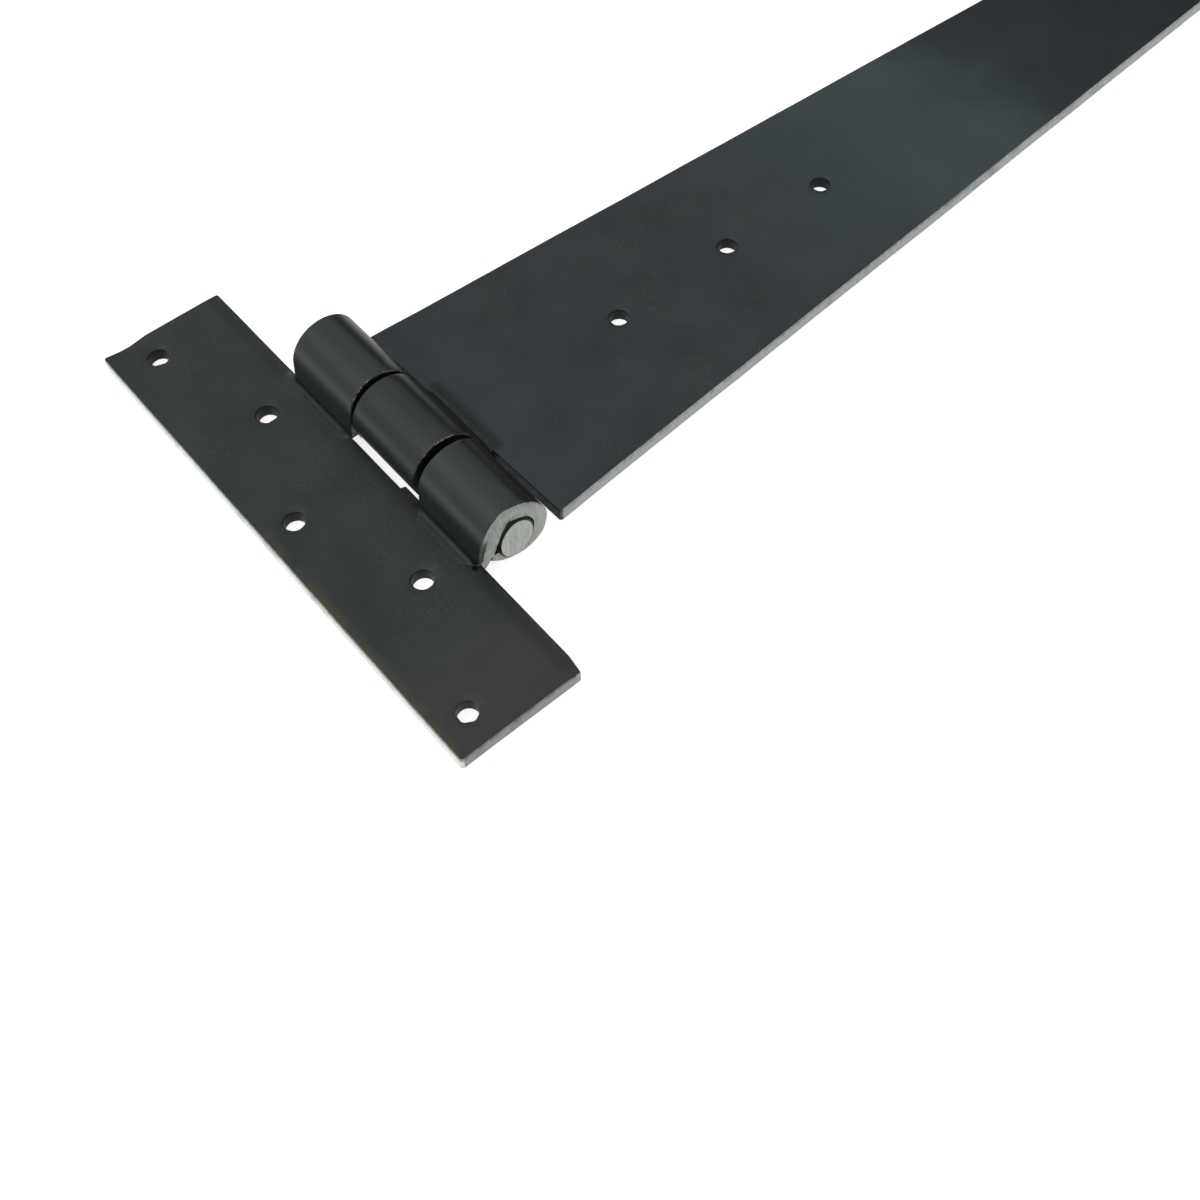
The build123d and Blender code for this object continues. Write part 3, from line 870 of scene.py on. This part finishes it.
class HINGE_OT_strap(bpy.types.Operator):
    """Makes the worn strap with its knuckle"""

    bl_idname = "hinge.strap"
    bl_label = "Strap"

    def execute(self, context):
        sizes = context.scene.hinge_sizes
        colours = context.scene.hinge_colours
        mesh = remade("strap_leaf", STRAP_HOLES, STRAP_HOLE_RADIUS, sizes)
        kinds = {face: strap_kind(face) for face in mesh.faces}
        for vertex in mesh.verts:
            wear_strap_edges(vertex.co, vertex.co.copy(), sizes)
            rest = vertex.co.copy()
            wear_holes(vertex.co, rest, STRAP_HOLES, STRAP_HOLE_RADIUS, sizes)
            wear_knuckle(vertex.co, rest, sizes, 7.0)
            soften_creases(vertex.co, rest, STRAP_CREASE, STRAP_KNUCKLE_ENDS)
            wear_rims(vertex.co, rest, STRAP_KNUCKLE_ENDS[1], 0.0, 5.0)
        finishes = {
            "face": strap_face(colours),
            "sheared side": sheared_side("Sheared strap steel", tone(colours.sheared, 1.05), bright=1.2),
            # Painted shade: the hole walls are drawn darker than the plate
            "hole": worn_steel("Punched hole in strap steel", tone(colours.strap, 0.4),
                               contrast=0.35, patch=mm(1.5), roughness=0.5, bump=0.2),
            "rim": rubbed_rim("Rolled rim of strap steel", tone(colours.strap, 0.9), colours.burr),
            # Painted shade on the strap's root end, in the gap beside the near knuckle
            "shaded root": gap_shade("Painted shade on sheared steel", tone(colours.strap_tip_tint_and_shade, 0.7)),
        }
        finish_piece("strap_dressed", mesh, "strap_leaf", "strap", finishes, kinds)
        return {"FINISHED"}


class HINGE_OT_pin(bpy.types.Operator):
    """Makes the pin with its cropped and dressed ends"""

    bl_idname = "hinge.pin"
    bl_label = "Pin"

    def execute(self, context):
        colours = context.scene.hinge_colours
        mesh = cad_mesh("hinge_pin")
        slice_mesh(mesh, [(0, PIN_LOW.y + mm(out), 0) for out in (1.0, 2.0)], (0, 1, 0))
        for vertex in mesh.verts:
            lean_pin(vertex.co)
        kinds = {face: "end" if abs(face.normal.y) > 0.9 else "side" for face in mesh.faces}
        finishes = {
            "end": filed_end("Cropped mild steel rod", tone(colours.dressed, 1.05), seam_shadow=True),
            # The pin's side is blackened rod, drawn very dark also as painted shade where it stands out of
            # the eye
            "side": worn_steel("Blackened mild steel rod", tone(colours.leaf, 0.35),
                               contrast=0.3, patch=mm(2), roughness=0.5, bump=0.15),
        }
        finish_piece("pin_dressed", mesh, "hinge_pin", "cross_leaf", finishes, kinds)
        return {"FINISHED"}


# Stage

def set_camera(scene):
    """Sets the camera where the photograph was taken from, solved from the hinge's own right angles."""
    camera_data = bpy.data.cameras.new("camera")
    camera_data.sensor_width = 36.0
    camera_data.lens = 45.29
    camera_data.clip_start = 0.01
    camera_data.clip_end = 50.0
    camera = bpy.data.objects.new("camera", camera_data)
    right = Vector((0.7623, -0.6467, -0.0257))
    up = Vector((0.5608, 0.6402, 0.5251))
    back = Vector((-0.3231, -0.4147, 0.8507))
    turn = Matrix((right, up, back)).transposed().to_4x4()
    camera.matrix_world = Matrix.Translation((-0.08015, -0.20837, 0.29925)) @ turn
    scene.collection.objects.link(camera)
    scene.camera = camera


def seen(tree):
    """1 for the rays that see the surroundings, straight or in the steel, and 0 for those that only bring
    light."""
    path = add_node(tree, "ShaderNodeLightPath")
    most = path.outputs["Is Camera Ray"]
    for ray in ("Is Glossy Ray", "Is Transmission Ray"):
        both = add_node(tree, "ShaderNodeMath", {"operation": "MAXIMUM"}, {0: most, 1: path.outputs[ray]})
        most = both.outputs[0]
    return most


def add_sheet(scene, name, corners, material):
    """A flat sheet of the studio."""
    data = bpy.data.meshes.new(name)
    data.from_pydata(corners, [], [(0, 1, 2, 3)])
    data.materials.append(material)
    sheet = bpy.data.objects.new(name, data)
    scene.collection.objects.link(sheet)
    return sheet


def lay_floor(scene):
    """Lays a matt white sheet under the hinge. It looks white and keeps the hinge's soft shadow."""
    material, tree, output = start_material("Matt white studio sheet")
    diffuse = add_node(tree, "ShaderNodeBsdfDiffuse", {"Color": (0.66, 0.66, 0.66, 1)})
    lift = add_node(tree, "ShaderNodeMath", {"operation": "MULTIPLY", 1: 0.8}, {0: seen(tree)})
    glow = add_node(tree, "ShaderNodeEmission", {"Color": (1, 1, 1, 1)}, {"Strength": lift.outputs[0]})
    both = add_node(tree, "ShaderNodeAddShader", {}, {0: diffuse.outputs[0], 1: glow.outputs[0]})
    tree.links.new(both.outputs[0], output.inputs["Surface"])
    half = 4.0
    under = mm(-0.2)
    corners = [(-half, -half, under), (half, -half, under), (half, half, under), (-half, half, under)]
    floor = add_sheet(scene, "floor", corners, material)


def light_world(scene):
    """Surrounds the hinge with even light, which looks white to the camera."""
    world = bpy.data.worlds.new("studio")
    scene.world = world
    world.use_nodes = True
    tree = world.node_tree
    tree.nodes.clear()
    output = add_node(tree, "ShaderNodeOutputWorld")
    level = add_node(tree, "ShaderNodeMapRange", {"To Min": 0.6, "To Max": 1.0}, {"Value": seen(tree)})
    sky = add_node(tree, "ShaderNodeBackground", {"Color": (1, 1, 1, 1)}, {"Strength": level.outputs[0]})
    tree.links.new(sky.outputs[0], output.inputs["Surface"])


def hang_softbox(scene):
    """Hangs one wide soft lamp above the hinge, a little beyond the leaf."""
    lamp_data = bpy.data.lights.new("top_softbox", "AREA")
    lamp_data.shape = "RECTANGLE"
    lamp_data.size = 1.5
    lamp_data.size_y = 1.2
    lamp_data.energy = 3.8
    lamp = bpy.data.objects.new("top_softbox", lamp_data)
    lamp.location = (-0.6, 0.35, 1.3)
    aim = Vector((0.1, 0.0, 0.0)) - lamp.location
    lamp.rotation_euler = aim.to_track_quat("-Z", "Y").to_euler()
    scene.collection.objects.link(lamp)


def stand_flag(scene):
    """Stands a black card beyond the strap, which only darkens what its steel reflects."""
    material, tree, output = start_material("Black studio flag")
    black = add_node(tree, "ShaderNodeBsdfDiffuse", {"Color": (0.02, 0.022, 0.022, 1)})
    tree.links.new(black.outputs[0], output.inputs["Surface"])
    half = 1.8
    height = 0.85
    corners = [(-half, 0, 0), (half, 0, 0), (half, 0, height), (-half, 0, height)]
    card = add_sheet(scene, "far_flag", corners, material)
    card.location = (1.75, 0.95, 0.0)
    card.rotation_euler = (0, 0, math.radians(-60))
    card.visible_camera = False
    card.visible_diffuse = False
    card.visible_shadow = False


class HINGE_OT_stage(bpy.types.Operator):
    """Sets the camera, the pale floor, the lamp and the white surroundings"""

    bl_idname = "hinge.stage"
    bl_label = "Stage"

    def execute(self, context):
        for step in (set_camera, lay_floor, light_world, hang_softbox, stand_flag):
            step(context.scene)
        context.scene.view_settings.view_transform = "Standard"
        return {"FINISHED"}


class HINGE_PT_panel(bpy.types.Panel):
    """Lists the hinge's pieces, sizes and colours"""

    bl_label = "Tee hinge"
    bl_idname = "HINGE_PT_panel"
    bl_space_type = "VIEW_3D"
    bl_region_type = "UI"
    bl_category = "Tee hinge"

    def draw(self, context):
        for group in (context.scene.hinge_sizes, context.scene.hinge_colours):
            for name in group.__annotations__:
                self.layout.prop(group, name)
        for step in STEPS:
            self.layout.operator(step.bl_idname)


STEPS = (HINGE_OT_cross_leaf, HINGE_OT_strap, HINGE_OT_pin, HINGE_OT_stage)
CLASSES = (HingeSizes, HingeColours, *STEPS, HINGE_PT_panel)


def register():
    for each in CLASSES:
        bpy.utils.register_class(each)
    bpy.types.Scene.hinge_sizes = bpy.props.PointerProperty(type=HingeSizes)
    bpy.types.Scene.hinge_colours = bpy.props.PointerProperty(type=HingeColours)


def unregister():
    del bpy.types.Scene.hinge_sizes
    del bpy.types.Scene.hinge_colours
    for each in reversed(CLASSES):
        bpy.utils.unregister_class(each)


def main():
    register()
    bpy.ops.hinge.cross_leaf()
    bpy.ops.hinge.strap()
    bpy.ops.hinge.pin()
    bpy.ops.hinge.stage()


if __name__ == "__main__":
    main()
